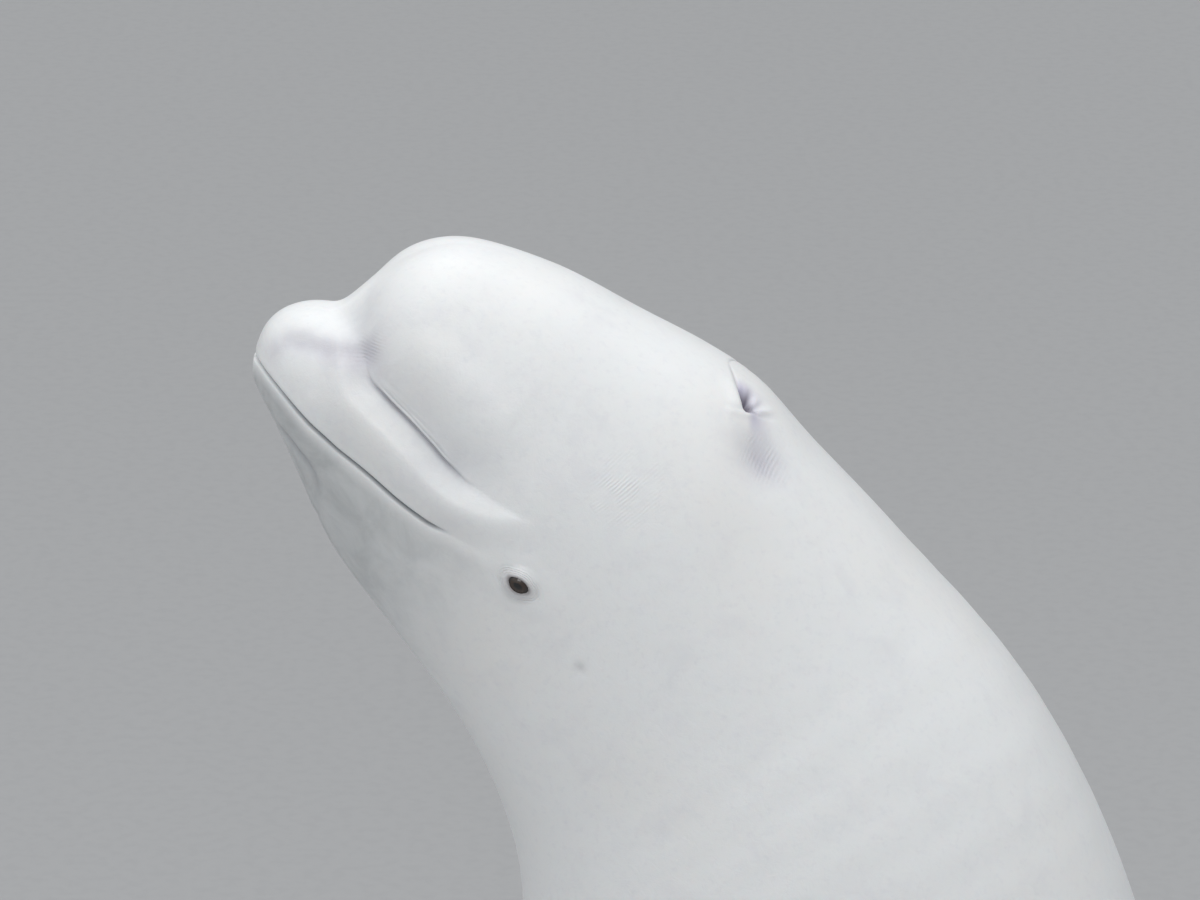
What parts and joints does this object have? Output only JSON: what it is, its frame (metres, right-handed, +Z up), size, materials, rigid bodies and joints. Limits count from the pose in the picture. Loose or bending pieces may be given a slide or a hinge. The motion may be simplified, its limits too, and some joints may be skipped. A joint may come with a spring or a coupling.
{
  "type": "beluga whale display model",
  "caption": "Life-size still model of an adult white beluga whale rising upright with its nose lifted, held on a flat stand by short rods.",
  "frame": {"origin": "centre of the stand's underside, at floor level", "axes": "+Z up; the whale's head faces -X, its belly faces -X and its back +X, its left side faces -Y"},
  "size_m": [1.8, 1.3, 3.5838],
  "materials": {
    "skin": "smooth wet white skin, satin",
    "eye": "dark brown, wet gloss",
    "stand_board": "dark grey satin paint",
    "stand_steel": "satin steel"
  },
  "bodies": {
    "root": {"head": "skin", "lower_jaw": "skin", "neck": "skin", "chest": "skin", "trunk": "skin", "tail_stock": "skin", "flipper_left": "skin", "flipper_right": "skin", "fluke_left": "skin", "fluke_right": "skin", "eye_left": "eye", "eye_right": "eye", "stand_base": "stand_board", "stand_foot_1": "stand_steel", "stand_foot_2": "stand_steel", "stand_rod_1": "stand_steel", "stand_rod_2": "stand_steel"}
  },
  "joints": []
}
